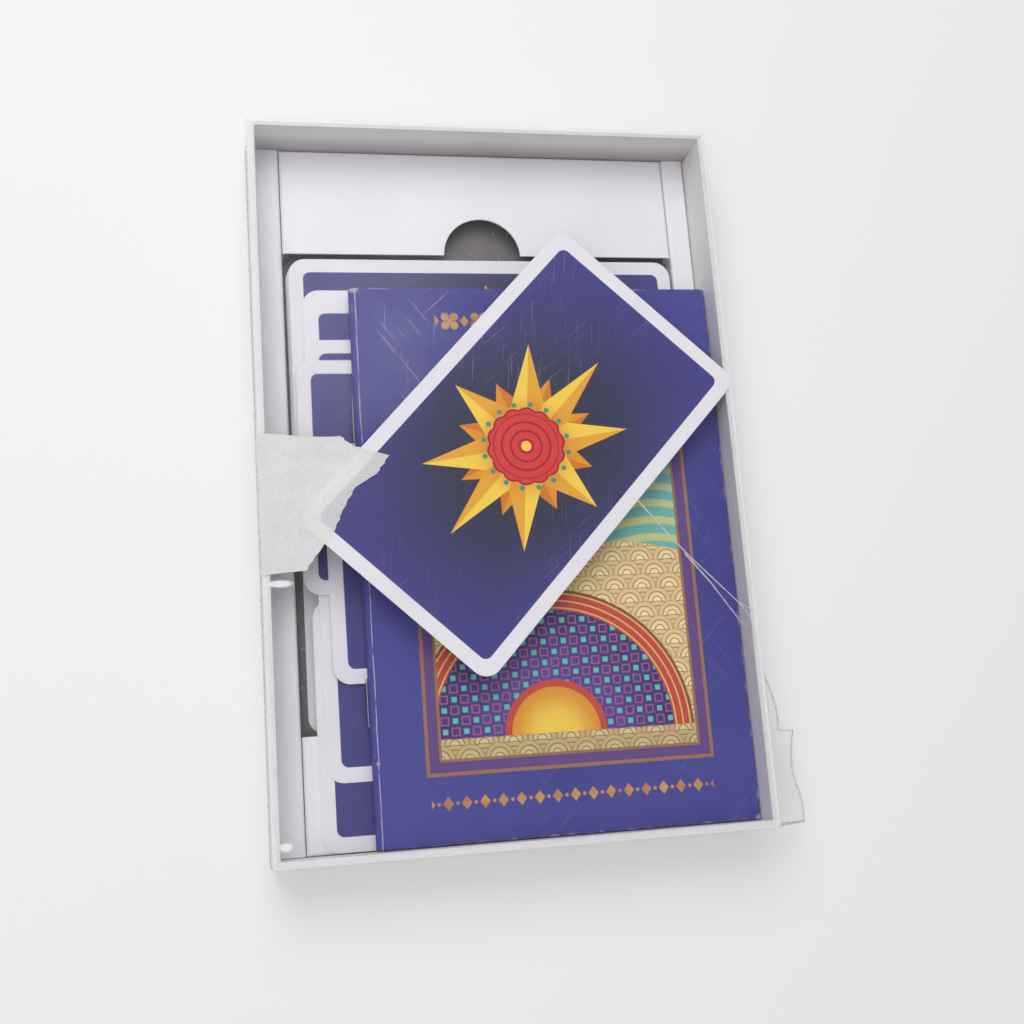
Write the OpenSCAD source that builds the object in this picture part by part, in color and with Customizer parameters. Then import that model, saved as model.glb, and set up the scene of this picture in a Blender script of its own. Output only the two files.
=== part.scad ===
// Boxed deck of fortune-telling cards.
// A shallow white tray with four folded spacers forms a well for loose cards lying on their side.
// A stapled booklet lies over the cards, and a clear film lid with a sample card taped on closes the tray.
// The back of the tray lies on z = 0, x runs across the tray and y along it.

/* [Cards] */
// Length of a card's long edge
card_l = 120; // [100:1:130]
// Length of a card's short edge
card_w = 70; // [60:1:80]
// Thickness of a card
card_t = 0.4; // [0.28:0.02:0.5]
// Radius of a card's corners
card_r = 5; // [2:0.5:8]
// Air between one card and the next
card_air = 0.02; // [0.01:0.01:0.05]
// Sideways lean of the upper pile, from its middle card to its top card
pile_lean = 0.4; // [0:0.1:1]
// Largest turn of a card in a squared pile, in degrees
pile_turn = 0.25; // [0:0.05:0.4]
// Scatter of a squared pile's cards along the well
pile_slide = 0.5; // [0.1:0.1:2]
// Gap between the upper pile and the top spacer
upper_gap = 1.3; // [0.2:0.1:4]
// Gap between the lower pile and the bottom spacer
lower_gap = 0.1; // [0.05:0.05:2]
// Gap between the lower pile and the right spacer
lower_side_gap = 0.3; // [0.2:0.05:1]

/* [Loose cards] */
// Slide of the first loose card from the well's upper end
loose_slide_1 = 12.2; // [2:0.1:16]
// Gap between the second loose card, which lies on the bottom spacer, and the tray's lower wall
loose_low_gap = 0.4; // [0.3:0.1:2]
// Slide of the third loose card past the first
loose_slide_3 = 2.8; // [1:0.1:10]
// Gap between the third loose card and the fourth, which lies below it in the same layer
loose_gap = 1.9; // [1:0.1:8]
// Slide of the fifth loose card past the first
loose_slide_5 = 15.5; // [5:0.1:40]
// Slide of the sixth loose card past the first
loose_slide_6 = 22.3; // [5:0.1:40]
// Slide of the seventh loose card past the first
loose_slide_7 = 47.4; // [20:0.1:70]
// Side step of the first loose card
loose_side_1 = 3.8; // [1:0.1:6]
// Side step of the second loose card
loose_side_2 = 3; // [1:0.1:6]
// Side step of the third loose card
loose_side_3 = 4.4; // [1:0.1:6]
// Side step of the fourth loose card
loose_side_4 = 5; // [1:0.1:6]
// Side step of the fifth loose card
loose_side_5 = 4; // [1:0.1:6]
// Side step of the sixth loose card
loose_side_6 = 1.1; // [1:0.1:6]
// Gap between the seventh loose card and the tray's wall
loose_wall_gap = 0.9; // [0.4:0.1:2]

/* [Tray] */
// Thickness of the tray's walls
tray_wall = 1.6; // [1:0.1:2.5]
// Thickness of the tray's back
tray_base = 1.2; // [0.8:0.1:2.5]
// Height of the tray's rim over the spacers
tray_headroom = 15; // [9:0.1:20]
// Radius of the rim's outer edge
rim_r = 0.8; // [0.3:0.1:1]
// Room at each short edge of a card in the well
card_room = 1.4; // [1.2:0.1:3]
// Length of the well beyond two piles of cards, their gaps and their scatter
well_room = 1.3; // [1:0.1:10]

/* [Spacers] */
// Height of the spacers over the tray's back
spacer_h = 5.4; // [4:0.1:9]
// Thickness of the spacers' board
spacer_t = 0.6; // [0.4:0.05:0.9]
// Radius of the spacers' folds
spacer_fold_r = 1; // [0.95:0.05:1.5]
// Width of each side spacer
side_spacer_w = 7.2; // [5:0.1:12]
// Depth of the top spacer, along the tray
top_spacer_d = 33.6; // [20:0.1:45]
// Depth of the bottom spacer, along the tray
bottom_spacer_d = 32.3; // [20:0.1:45]
// Radius of the thumb notch in the top spacer
thumb_r = 12; // [8:0.5:15]
// Gap between a spacer and what stands beside it
spacer_gap = 0.2; // [0.1:0.05:0.4]

/* [Lid] */
// Thickness of the lid's clear film
lid_t = 0.35; // [0.25:0.05:0.6]
// Gap between the lid's skirt and the tray's walls
lid_gap = 0.3; // [0.2:0.05:0.6]
// Gap between the lid and the tray's rim
lid_seat = 0.1; // [0.05:0.01:0.2]
// Depth of the lid's skirt
lid_skirt = 18; // [8:0.5:20]

/* [Booklet] */
// Width of the closed booklet
book_w = 111; // [90:1:118]
// Least room between the booklet's spine and the left spacer
spine_room = 2; // [1:0.1:6]
// Length that the booklet leaves free below the top spacer
book_room = 13.4; // [6:0.1:40]
// Gap between the booklet and the tray's walls
book_gap = 0.45; // [0.3:0.05:1]
// Thickness of the cover
cover_t = 0.3; // [0.2:0.02:0.4]
// Thickness of a page
page_t = 0.2; // [0.1:0.02:0.24]
// Margin by which the cover overhangs the pages
page_inset = 0.6; // [0.2:0.1:2]
// Air between one sheet and the next
sheet_air = 0.02; // [0.01:0.01:0.04]
// Gap between a turning page and the fold that it turns from
fold_gap = 0.05; // [0.03:0.01:0.1]
// Diameter of the staples' wire
wire_d = 0.5; // [0.4:0.05:0.6]
// Length of a staple's crown
staple_l = 13; // [8:0.5:15]
// Length of a staple's turned ends
staple_end = 5; // [3:0.5:6]
// Distance between the staples
staple_pitch = 82; // [60:1:100]
// Clearance round the staples' wire
wire_air = 0.05; // [0.03:0.01:0.08]

/* [Sample card] */
// Place of the sample card across the lid
sample_x = 5.4; // [-5:0.1:8]
// Place of the sample card along the lid
sample_y = 5.7; // [-40:0.1:40]
// Turn of the sample card's long edge, in degrees
sample_turn = 46.5; // [40:0.5:60]

/* [Tape] */
// Thickness of the masking tape
tape_t = 0.15; // [0.1:0.01:0.25]
// Width of the masking tape
tape_w = 40; // [25:1:50]
// Place of the tape's middle along the lid
tape_y = -9; // [-20:0.5:10]
// Furthest reach of the torn end over the lid
tape_reach = 36.5; // [25:0.5:45]
// Depth of the tape on the lid's skirt
tape_drop = 12; // [4:0.5:14]
// Air under the tape
tape_air = 0.02; // [0.01:0.01:0.05]

/* [Hidden] */
$fn = 48;
eps = 1;

// Cards in the lower and the upper squared pile, and sheets in the booklet
lower_n = 2;
upper_n = 12;
sheet_n = 6;

// Torn end of the tape: shares of its reach and of half its width, from the upper edge to the lower
TORN_END = [
    [0.50, 0.92], [0.63, 0.94], [0.72, 0.80], [1.00, 0.64], [0.91, 0.40], [0.72, 0.17],
    [0.62, -0.15], [0.55, -0.44], [0.40, -0.78], [0.33, -0.96],
];

// The tray's inside, built up from the cards and the booklet outwards
well_w = max(card_l + 2 * card_room, book_w + book_gap + spine_room - side_spacer_w - spacer_gap);
well_l = 2 * (card_w + pile_slide) + upper_gap + lower_gap + well_room;
inner_w = well_w + 2 * (side_spacer_w + spacer_gap);
inner_l = well_l + top_spacer_d + bottom_spacer_d + 2 * spacer_gap;
tray_w = inner_w + 2 * tray_wall;
tray_l = inner_l + 2 * tray_wall;
spacer_top = tray_base + spacer_h;
tray_h = spacer_top + tray_headroom;
tray_low = -inner_l / 2;
well_low = tray_low + bottom_spacer_d + spacer_gap;
well_high = well_low + well_l;

// Plane on which the loose cards lie: on the spacers, or on the higher pile where that stands over them
card_pitch = card_t + card_air;
rest_z = max(spacer_top, tray_base + max(lower_n, upper_n) * card_pitch);

// Loose cards from the lowest up: side step from the well's middle, place along the tray, turn in degrees, and layer
function loose_y(slide) = well_high - slide - card_w / 2;
LOOSE = [
    [loose_side_1, loose_y(loose_slide_1), -0.3, 0],
    [loose_side_2, tray_low + loose_low_gap + card_w / 2, 0, 0],
    [loose_side_3, loose_y(loose_slide_1 + loose_slide_3), 0.2, 1],
    [loose_side_4, loose_y(loose_slide_1 + loose_slide_3 + card_w + loose_gap), 0.15, 1],
    [loose_side_5, loose_y(loose_slide_1 + loose_slide_5), 0.2, 2],
    [loose_side_6, loose_y(loose_slide_1 + loose_slide_6), -0.2, 3],
    [inner_w / 2 - loose_wall_gap - card_l / 2, loose_y(loose_slide_1 + loose_slide_7), 0.4, 4],
];
loose_layers = 5;
card_n = lower_n + upper_n + len(LOOSE);

// The lid, one clearance outside the tray
lid_w = tray_w + 2 * (lid_gap + lid_t);
lid_l = tray_l + 2 * (lid_gap + lid_t);
lid_r = rim_r + lid_gap + lid_t;
lid_top = tray_h + lid_seat + lid_t;

// The booklet: nested folded sheets with a room for the staples' ends in the middle
sheet_pitch = page_t + sheet_air;
staple_room = wire_d + 4 * wire_air;
book_t = 2 * (cover_t + sheet_air) + 2 * sheet_n * sheet_pitch + staple_room;
book_l = well_high - tray_low - book_gap - book_room;
book_left = inner_w / 2 - book_gap - book_w;
spine_r = book_t / 2;
book_low = tray_low + book_gap;

function card_name(i) = str("card_", i < 10 ? "0" : "", i);
function page_name(side, i) = str("page_", side, "_", i);

// Outline that stands on the x axis, with its two upper corners rounded
module fold_profile(w, h, r) {
    translate([-w / 2, 0]) square([w, h - r]);
    translate([r - w / 2, 0]) square([w - 2 * r, h]);
    for (side = [-1, 1])
        translate([side * (w / 2 - r), h - r]) circle(r);
}

// Bar along y with that outline
module folded_bar(w, l, h, r) {
    rotate([90, 0, 0]) linear_extrude(l, center = true) fold_profile(w, h, r);
}

// Block with all four upper edges rounded
module folded_block(w, l, h, r) {
    intersection() {
        folded_bar(w, l, h, r);
        rotate([0, 0, 90]) folded_bar(l, w, h, r);
    }
}

// Sheet folded into an open box, mouth down
module folded_shell(w, l, h, t, r) {
    difference() {
        folded_block(w, l, h, r);
        translate([0, 0, -t]) folded_block(w - 2 * t, l - 2 * t, h, r - t);
    }
}

// Card outline grown by a margin, its middle at the origin and its long edge along x
module card_outline(grow = 0) {
    r = card_r + grow;
    l = card_l + 2 * grow;
    w = card_w + 2 * grow;
    square([l - 2 * r, w], center = true);
    square([l, w - 2 * r], center = true);
    for (x = [-1, 1], y = [-1, 1])
        translate([x * (l / 2 - r), y * (w / 2 - r)]) circle(r);
}

module tray() {
    color("whitesmoke") difference() {
        folded_block(tray_w, tray_l, tray_h, rim_r);
        translate([-inner_w / 2, -inner_l / 2, tray_base]) cube([inner_w, inner_l, tray_h]);
    }
}

// Channel beside the well, folded down along both long edges
module side_spacer(side) {
    l = inner_l - 2 * spacer_gap;
    color("white") translate([side * (well_w + side_spacer_w) / 2, 0, tray_base]) difference() {
        folded_bar(side_spacer_w, l, spacer_h, spacer_fold_r);
        translate([0, 0, -spacer_t])
            folded_bar(side_spacer_w - 2 * spacer_t, l + eps, spacer_h, spacer_fold_r - spacer_t);
    }
}

// Bridge over one end of the well: its front edge at the origin, open to the cards
module end_spacer(depth) {
    w = well_w - 2 * spacer_gap;
    front = spacer_fold_r;
    difference() {
        translate([0, (depth - front) / 2, 0])
            folded_shell(w, depth + front, spacer_h, spacer_t, spacer_fold_r);
        translate([-w / 2 - eps, -front - eps, -eps]) cube([w + 2 * eps, front + eps, spacer_h + 2 * eps]);
    }
}

// Bridge at the upper end of the well, with a thumb notch in its front edge
module top_spacer() {
    color("white") translate([0, well_high, tray_base]) difference() {
        end_spacer(top_spacer_d);
        cylinder(r = thumb_r, h = spacer_h + eps);
    }
}

module bottom_spacer() {
    color("white") translate([0, well_low, tray_base]) rotate([0, 0, 180]) end_spacer(bottom_spacer_d);
}

module lid() {
    color("aliceblue", 0.3) translate([0, 0, lid_top - lid_skirt])
        folded_shell(lid_w, lid_l, lid_skirt, lid_t, lid_r);
}

// Places a card-shaped piece on the lid, turned as the sample card is
module on_lid() {
    translate([sample_x, sample_y, lid_top + tape_air]) rotate([0, 0, sample_turn]) children();
}

module sample_card() {
    color("midnightblue") on_lid() linear_extrude(card_t) card_outline();
}

// Skin over the lid's left edge and over the corner of the sample card, torn off at its right end
module masking_tape() {
    skin_r = lid_r + tape_air;
    color("linen") intersection() {
        translate([-lid_w / 2, tape_y, lid_top - tape_drop]) linear_extrude(tape_drop + card_t + eps)
            polygon(concat(
                [[-eps, -tape_w / 2], [-eps, tape_w / 2]],
                [for (p = TORN_END) [p[0] * tape_reach, p[1] * tape_w / 2]]
            ));
        difference() {
            union() {
                translate([0, 0, lid_top - lid_skirt]) folded_block(
                    lid_w + 2 * (tape_air + tape_t), lid_l, lid_skirt + tape_air + tape_t, skin_r + tape_t);
                on_lid() linear_extrude(card_t + tape_air + tape_t) card_outline(tape_air + tape_t);
            }
            translate([0, 0, lid_top - lid_skirt - eps])
                folded_block(lid_w + 2 * tape_air, lid_l + eps, lid_skirt + eps + tape_air, skin_r);
            on_lid() translate([0, 0, -eps]) linear_extrude(card_t + tape_air + eps) card_outline(tape_air);
        }
    }
}

// Card of a squared pile: end is -1 for the lower end of the well and 1 for the upper end
module pile_card(end, level) {
    gap = end < 0 ? lower_gap : upper_gap;
    slide = gap + pile_slide * (1 + sin(level * 150 + end * 60)) / 2 + card_air + card_l / 2 * sin(pile_turn);
    x = end < 0 ? (well_w - card_l) / 2 - lower_side_gap : pile_lean * (2 * level / (upper_n - 1) - 1);
    y = end < 0 ? well_low + card_w / 2 + slide : well_high - card_w / 2 - slide;
    turn = pile_turn * sin(level * 110 + end * 35);
    translate([x, y, tray_base + card_air + level * card_pitch]) rotate([0, 0, turn])
        linear_extrude(card_t) card_outline();
}

module loose_card(i) {
    place = LOOSE[i];
    translate([place[0], place[1], rest_z + card_air + place[3] * card_pitch]) rotate([0, 0, place[2]])
        linear_extrude(card_t) card_outline();
}

module card(i) {
    color("darkslateblue")
        if (i <= lower_n) pile_card(-1, i - 1);
        else if (i <= lower_n + upper_n) pile_card(1, i - lower_n - 1);
        else loose_card(i - lower_n - upper_n - 1);
}

// Places a piece in the booklet's own frame: x from the spine, y from the lower edge, z from the back cover
module in_booklet() {
    translate([book_left, book_low, rest_z + card_air + loose_layers * card_pitch]) children();
}

// Lower leaf of a folded sheet with its whole fold: out is the fold's outer radius
module folded_leaf(out, t, right, low, high) {
    difference() {
        translate([spine_r, low, spine_r]) rotate([-90, 0, 0]) linear_extrude(high - low) difference() {
            union() {
                circle(out);
                translate([0, out - t]) square([right - spine_r, t]);
            }
            circle(out - t);
            translate([0, -out - eps]) square([out + eps, 2 * out + eps - t]);
        }
        staple_places() rotate([0, 90, 0]) cylinder(d = wire_d + 2 * wire_air, h = spine_r);
    }
}

// Upper leaf of a folded sheet, which turns from the fold
module turning_leaf(out, t, right, low, high) {
    translate([spine_r + fold_gap, low, spine_r + out - t]) cube([right - spine_r - fold_gap, high - low, t]);
}

// One child at each leg of the staples
module staple_places() {
    for (staple = [-1, 1], leg = [-1, 1])
        translate([0, (book_l + staple * staple_pitch + leg * staple_l) / 2, spine_r]) children();
}

module booklet_back_cover() {
    color("darkslateblue") in_booklet() folded_leaf(spine_r, cover_t, book_w, 0, book_l);
}

module booklet_front_cover() {
    color("darkslateblue") in_booklet() turning_leaf(spine_r, cover_t, book_w, 0, book_l);
}

function page_out(i) = spine_r - cover_t - sheet_air - (i - 1) * sheet_pitch;

module page_back(i) {
    color("ivory") in_booklet()
        folded_leaf(page_out(i), page_t, book_w - page_inset, page_inset, book_l - page_inset);
}

module page_front(i) {
    color("ivory") in_booklet()
        turning_leaf(page_out(i), page_t, book_w - page_inset, page_inset, book_l - page_inset);
}

// Two wire staples: a crown on the spine, two legs through the folds, and ends turned in along the middle fold
module booklet_staples() {
    crown_x = -wire_d / 2 - wire_air;
    end_x = spine_r - staple_room / 2 + wire_air + wire_d / 2;
    color("silver") in_booklet() for (staple = [-1, 1])
        translate([0, (book_l + staple * staple_pitch) / 2, spine_r]) {
            translate([crown_x, 0, 0]) rotate([90, 0, 0]) cylinder(d = wire_d, h = staple_l, center = true);
            for (leg = [-1, 1]) translate([0, leg * staple_l / 2, 0]) {
                translate([crown_x, 0, 0]) rotate([0, 90, 0]) cylinder(d = wire_d, h = end_x - crown_x);
                translate([crown_x, 0, 0]) sphere(d = wire_d);
                translate([end_x, 0, 0]) sphere(d = wire_d);
                translate([end_x, 0, 0]) rotate([leg * 90, 0, 0]) cylinder(d = wire_d, h = staple_end);
            }
        }
}

tray();
side_spacer(-1);  // left_spacer
side_spacer(1);  // right_spacer
top_spacer();
bottom_spacer();
lid();
sample_card();
masking_tape();
booklet_back_cover();
booklet_front_cover();
booklet_staples();
for (i = [1:sheet_n]) {
    page_back(i);
    page_front(i);
}
for (i = [1:card_n])
    card(i);
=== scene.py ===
# %% [markdown]
# # A boxed deck of fortune-telling cards
#
# A shallow white tray holds four folded spacers, loose cards, a stapled booklet and a clear film lid.
# One card lies on the lid under a torn piece of masking tape.
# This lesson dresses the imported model: it models what a plain solid can't show,
# and gives every surface a finish.

# %% Load the frame
import math

import bmesh
import bpy
import numpy as np
from mathutils import Matrix, Vector, noise


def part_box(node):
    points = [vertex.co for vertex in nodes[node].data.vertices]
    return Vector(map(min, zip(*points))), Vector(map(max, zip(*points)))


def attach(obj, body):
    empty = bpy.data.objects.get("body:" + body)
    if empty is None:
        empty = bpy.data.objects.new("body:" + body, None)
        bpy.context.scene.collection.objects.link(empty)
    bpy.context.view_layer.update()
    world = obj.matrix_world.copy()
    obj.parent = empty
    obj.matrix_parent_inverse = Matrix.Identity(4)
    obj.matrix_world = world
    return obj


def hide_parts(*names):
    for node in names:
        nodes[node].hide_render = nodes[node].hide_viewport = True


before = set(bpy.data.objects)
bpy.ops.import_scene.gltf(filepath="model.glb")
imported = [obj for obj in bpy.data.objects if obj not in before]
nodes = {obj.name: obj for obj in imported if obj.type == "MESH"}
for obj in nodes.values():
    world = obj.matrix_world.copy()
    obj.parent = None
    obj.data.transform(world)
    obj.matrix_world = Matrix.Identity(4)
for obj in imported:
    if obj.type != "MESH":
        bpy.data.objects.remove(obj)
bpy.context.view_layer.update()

MM = 0.001

# %% [markdown]
# ## Camera
#
# The photograph was fitted to the known size of the card on the lid, which gives the camera's place and lens.
# A camera looks along its own -Z with +Y up, so its axes are built from the direction of view
# and an up direction.
# Writing these as a matrix is simpler than turning the camera by angles.

# %% Camera
CAMERA_PLACE = Vector((-79.2, -88.4, 377.9)) * MM
CAMERA_VIEW = Vector((0.2123, 0.2011, -0.9563)).normalized()
CAMERA_ROLL = math.radians(4.31)
CAMERA_LENS = 45.79

up = Vector((math.sin(CAMERA_ROLL), math.cos(CAMERA_ROLL), 0))
right = CAMERA_VIEW.cross(up).normalized()
bpy.ops.object.camera_add()
camera = bpy.context.object
camera.matrix_world = Matrix.Translation(CAMERA_PLACE) @ Matrix(
    (right, right.cross(CAMERA_VIEW), -CAMERA_VIEW)).transposed().to_4x4()
camera.data.lens = CAMERA_LENS
camera.data.sensor_width = 36
camera.data.clip_start = 0.01
bpy.context.scene.camera = camera
print("camera at", [round(value, 3) for value in camera.location])

# %% [markdown]
# ## Shader maths
#
# A pattern is a sum of many small steps, and each step is a node.
# Wiring them by hand hides the maths, so one small class wraps a node's output socket.
# Python's operators on it add Math nodes, and its node method adds any other kind.

# %% A wrapped socket
class Wire:
    """One output socket of a shader node."""

    def __init__(self, tree, socket=None):
        self.tree = tree
        self.socket = socket

    def node(self, kind, settings=None, inputs=None, output=0):
        """Adds a node, sets it up, fills or links its inputs, and wraps one of its outputs."""
        made = self.tree.nodes.new("ShaderNode" + kind)
        for name, value in (settings or {}).items():
            setattr(made, name, value)
        for name, value in (inputs or {}).items():
            if isinstance(value, Wire):
                self.tree.links.new(value.socket, made.inputs[name])
            else:
                made.inputs[name].default_value = value
        return Wire(self.tree, made.outputs[output])

    def maths(self, operation, *values):
        return self.node("Math", {"operation": operation}, dict(enumerate(values)))

    def __add__(self, other):
        return self.maths("ADD", self, other)

    def __sub__(self, other):
        return self.maths("SUBTRACT", self, other)

    def __rsub__(self, other):
        return self.maths("SUBTRACT", other, self)

    def __mul__(self, other):
        return self.maths("MULTIPLY", self, other)

    def __truediv__(self, other):
        return self.maths("DIVIDE", self, other)

    def __pow__(self, other):
        return self.maths("POWER", self, other)

    def __abs__(self):
        return self.maths("ABSOLUTE", self)

    def __neg__(self):
        return self.maths("MULTIPLY", self, -1)

    def sine(self):
        return self.maths("SINE", self)

    def floor(self):
        return self.maths("FLOOR", self)

    def at_least(self, other):
        return self.maths("MAXIMUM", self, other)

    def at_most(self, other):
        return self.maths("MINIMUM", self, other)

    __radd__ = __add__
    __rmul__ = __mul__


def parts(vector):
    """The x, y and z of a vector."""
    first = vector.node("SeparateXYZ", inputs={0: vector})
    return [Wire(vector.tree, output) for output in first.socket.node.outputs]


def ramp(value, start, end, low=0.0, high=1.0):
    """Rises smoothly from low to high as a value goes from start to end."""
    return value.node("MapRange", {"interpolation_type": "SMOOTHSTEP"}, {
        "Value": value, "From Min": start, "From Max": end, "To Min": low, "To Max": high})


def inside(distance, soft=0.12):
    """1 where a distance is below zero, with a soft edge."""
    return ramp(distance, soft, -soft)


def paint(under, over, mask):
    """Lays one colour over another where a mask is 1."""
    return mask.node("Mix", {"data_type": "RGBA"}, {0: mask, 6: under, 7: over}, output=2)


def colour(red, green, blue):
    """A colour as seen on a screen, turned into the light values that shaders use."""
    def light(value):
        share = value / 255
        return share / 12.92 if share <= 0.04045 else ((share + 0.055) / 1.055) ** 2.4
    return (light(red), light(green), light(blue), 1)


print("white board is", [round(value, 2) for value in colour(232, 231, 236)])

# %% [markdown]
# ## Shapes for patterns
#
# Printed ornament is made of a few flat shapes: rounded frames, stars, discs and diamonds.
# Each can be given as a distance that is negative inside the shape, so one rule turns them all into masks.
# The patterns are worked out in millimetres, which keeps their sizes readable.

# %% Flat shapes as distances
def length(x, y):
    return (x * x + y * y) ** 0.5


def rounded_box(x, y, half_x, half_y, radius):
    across = abs(x) - (half_x - radius)
    along = abs(y) - (half_y - radius)
    corner = length(across.at_least(0), along.at_least(0))
    return corner + across.at_least(along).at_most(0) - radius


def star(x, y, points, reach, valley):
    """A star's distance, and the side of the ray's middle line on which a point lies."""
    half = math.pi / points
    angle = x.maths("ARCTAN2", y, x)
    turn = angle.maths("WRAP", angle, half, -half)
    radius = length(x, y)
    along = radius * turn.maths("COSINE", turn)
    beside = radius * turn.sine()
    taper = valley * math.sin(half) / (reach - valley * math.cos(half))
    return abs(beside) - (reach - along) * taper, beside


def repeat(value, pitch):
    """Distance from the middle of the nearest repeat."""
    return value.maths("WRAP", value, pitch / 2, -pitch / 2)


print("shapes", [shape.__name__ for shape in (length, rounded_box, star, repeat)])


# %% Grain, scratches and materials
def grain(place, scale, detail=3.0, stretch=(1, 1, 1)):
    """Even noise from 0 to 1, stretched along an axis where a finish has a direction."""
    turned = place.node("Mapping", inputs={"Vector": place, "Scale": stretch})
    return place.node("TexNoise", inputs={"Vector": turned, "Scale": scale, "Detail": detail})


def blank(name):
    """A new material with its shader, and a wire to start its maths from."""
    material = bpy.data.materials.new(name)
    material.use_nodes = True
    tree = material.node_tree
    return material, Wire(tree), tree.nodes["Principled BSDF"]


def feed(shader, **inputs):
    """Links wires to a shader's sockets, or sets its numbers and colours. Names use _ for a space."""
    for name, value in inputs.items():
        socket = shader.inputs[name.replace("_", " ")]
        if isinstance(value, Wire):
            value.tree.links.new(value.socket, socket)
        else:
            socket.default_value = value


def hairlines(place, turn, length_share=0.02, scale=2800):
    """Thin scratches along y, turned by an angle: peaks of a noise that is stretched into lines."""
    turned = place.node("Mapping", inputs={"Vector": place, "Rotation": (0, 0, turn)})
    drawn = place.node("Mapping", inputs={"Vector": turned, "Scale": (1, length_share, 1)})
    return ramp(place.node("TexNoise", inputs={"Vector": drawn, "Scale": scale, "Detail": 2.0}), 0.63, 0.72)


def bump(height, distance, strength=1.0):
    return height.node("Bump", inputs={"Height": height, "Distance": distance, "Strength": strength})


print("patterns", [pattern.__name__ for pattern in (grain, hairlines, bump)])


# %% [markdown]
# ## White board
#
# The tray is grey board lined with white paper, and the spacers are folded white card.
# Both show a fine fibre, faint clouds in the white, and grey rubbing along the rim and the corners.
# The tray's back is painted as grey board with flecks in it: painted shade, which darkens the hollow under
# the top spacer.
# At the upper end the wall's lining is painted darker towards its foot, as painted shade.
# Noise on Object coordinates gives fibres and flecks their real size without a map on the solid.

# %% White board finish
TRAY_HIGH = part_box("tray")[1]
TRAY_WALL, TRAY_BASE = 1.6, 1.2
SHADE_FROM, SHADE_TO = 4, 14


def shade_grey_board(place):
    """Recycled grey board with light and dark flecks, painted inside the tray as shade."""
    fleck = grain(place, 900, 3, stretch=(1, 0.5, 1))
    tone = paint(colour(112, 107, 109), colour(92, 88, 90), ramp(grain(place, 45, 4), 0.35, 0.7))
    tone = paint(tone, colour(80, 76, 78), ramp(fleck, 0.64, 0.7) * 0.7)
    return paint(tone, colour(168, 164, 163), ramp(fleck, 0.36, 0.3) * 0.7)


def white_board(name, white, shade, rough, fibre, with_painted_shade=False):
    material, base, shader = blank(name)
    place = base.node("TexCoord", output=3)
    x, y, z = parts(place)
    cloud = grain(place, 28, 4)
    fine = grain(place, 1400, 4)
    rim = ramp(z, TRAY_HIGH.z - 1.2 * MM, TRAY_HIGH.z)
    corner = ramp(abs(x), TRAY_HIGH.x - 3 * MM, TRAY_HIGH.x) * ramp(abs(y), TRAY_HIGH.y - 3 * MM, TRAY_HIGH.y)
    rubbed = (rim * 0.5 + corner) * ramp(grain(place, 260, 5), 0.5, 0.72)
    tone = paint(white, shade, ramp(cloud, 0.4, 0.75, 0, 0.6))
    tone = paint(tone, colour(168, 162, 155), rubbed * 0.45)
    if with_painted_shade:
        # Painted shade: the tray's floor inside is dark grey board, which darkens the hollow under the top
        # spacer.
        within = ((TRAY_HIGH.x - TRAY_WALL * MM) - abs(x)).at_most((TRAY_HIGH.y - TRAY_WALL * MM) - abs(y))
        back = ramp(within, -0.1 * MM, 0.1 * MM) * ramp(z, (TRAY_BASE + 0.3) * MM, (TRAY_BASE + 0.1) * MM)
        tone = paint(tone, shade_grey_board(place), back)
        # Painted shade: the upper wall's lining is painted grey towards its foot, where the wall is in shade.
        upper = inside(abs(y - (TRAY_HIGH.y - TRAY_WALL * MM)) - 0.4 * MM, 0.1 * MM)
        upper_wall_shade = upper * ramp(z, TRAY_HIGH.z - SHADE_FROM * MM, TRAY_HIGH.z - SHADE_TO * MM)
        tone = paint(tone, colour(176, 171, 174), upper_wall_shade * 0.9)
    feed(shader, Base_Color=tone, Roughness=rough + (cloud - 0.5) * 0.16, Normal=bump(fine, fibre))
    return material


tray_board = white_board("tray_board", colour(236, 234, 232), colour(226, 223, 221), 0.5, 0.00005,
                         with_painted_shade=True)
spacer_board = white_board("spacer_board", colour(238, 236, 241), colour(229, 226, 233), 0.42, 0.00003)
nodes["tray"].material_slots[0].material = tray_board
for name in nodes:
    if name.endswith("_spacer"):
        nodes[name].material_slots[0].material = spacer_board
print("board on", [name for name in nodes if "tray" in name or "spacer" in name])

# %% [markdown]
# ## Paper and wire
#
# The pages are thin uncoated paper, slightly yellowed towards their edges, where air and fingers reach them.
# The staples are drawn steel wire with fine lines along it.
# The solids already have the right folds and holes, so they only get a finish.

# %% Pages and staples
COVER_LOW, COVER_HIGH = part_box("booklet_back_cover")


def page_finish():
    material, base, shader = blank("page_paper")
    place = base.node("TexCoord", output=3)
    x, y, z = parts(place)
    edge = (COVER_HIGH.x - x).at_most(COVER_HIGH.y - y).at_most(y - COVER_LOW.y)
    fibre = grain(place, 900, 5)
    aged = ramp(edge, 9 * MM, 0) * ramp(grain(place, 60, 3), 0.3, 0.7)
    tone = paint(colour(240, 236, 224), colour(222, 208, 178), aged * 0.8)
    tone = paint(tone, colour(228, 222, 208), ramp(fibre, 0.5, 0.75) * 0.5)
    feed(shader, Base_Color=tone, Roughness=0.72 + fibre * 0.2, Normal=bump(fibre, 0.00003))
    return material


def wire_finish():
    material, base, shader = blank("staple_wire")
    lines = grain(base.node("TexCoord", output=3), 300, 4, stretch=(12, 1, 12))
    feed(shader, Base_Color=paint(colour(150, 150, 156), colour(96, 96, 102), lines * 0.7),
         Metallic=1.0, Roughness=0.3 + lines * 0.25)
    return material


page_paper = page_finish()
for name in nodes:
    if name.startswith("page_"):
        nodes[name].material_slots[0].material = page_paper
nodes["booklet_staples"].material_slots[0].material = wire_finish()
print("paper on", sum(name.startswith("page_") for name in nodes), "leaves")

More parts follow.
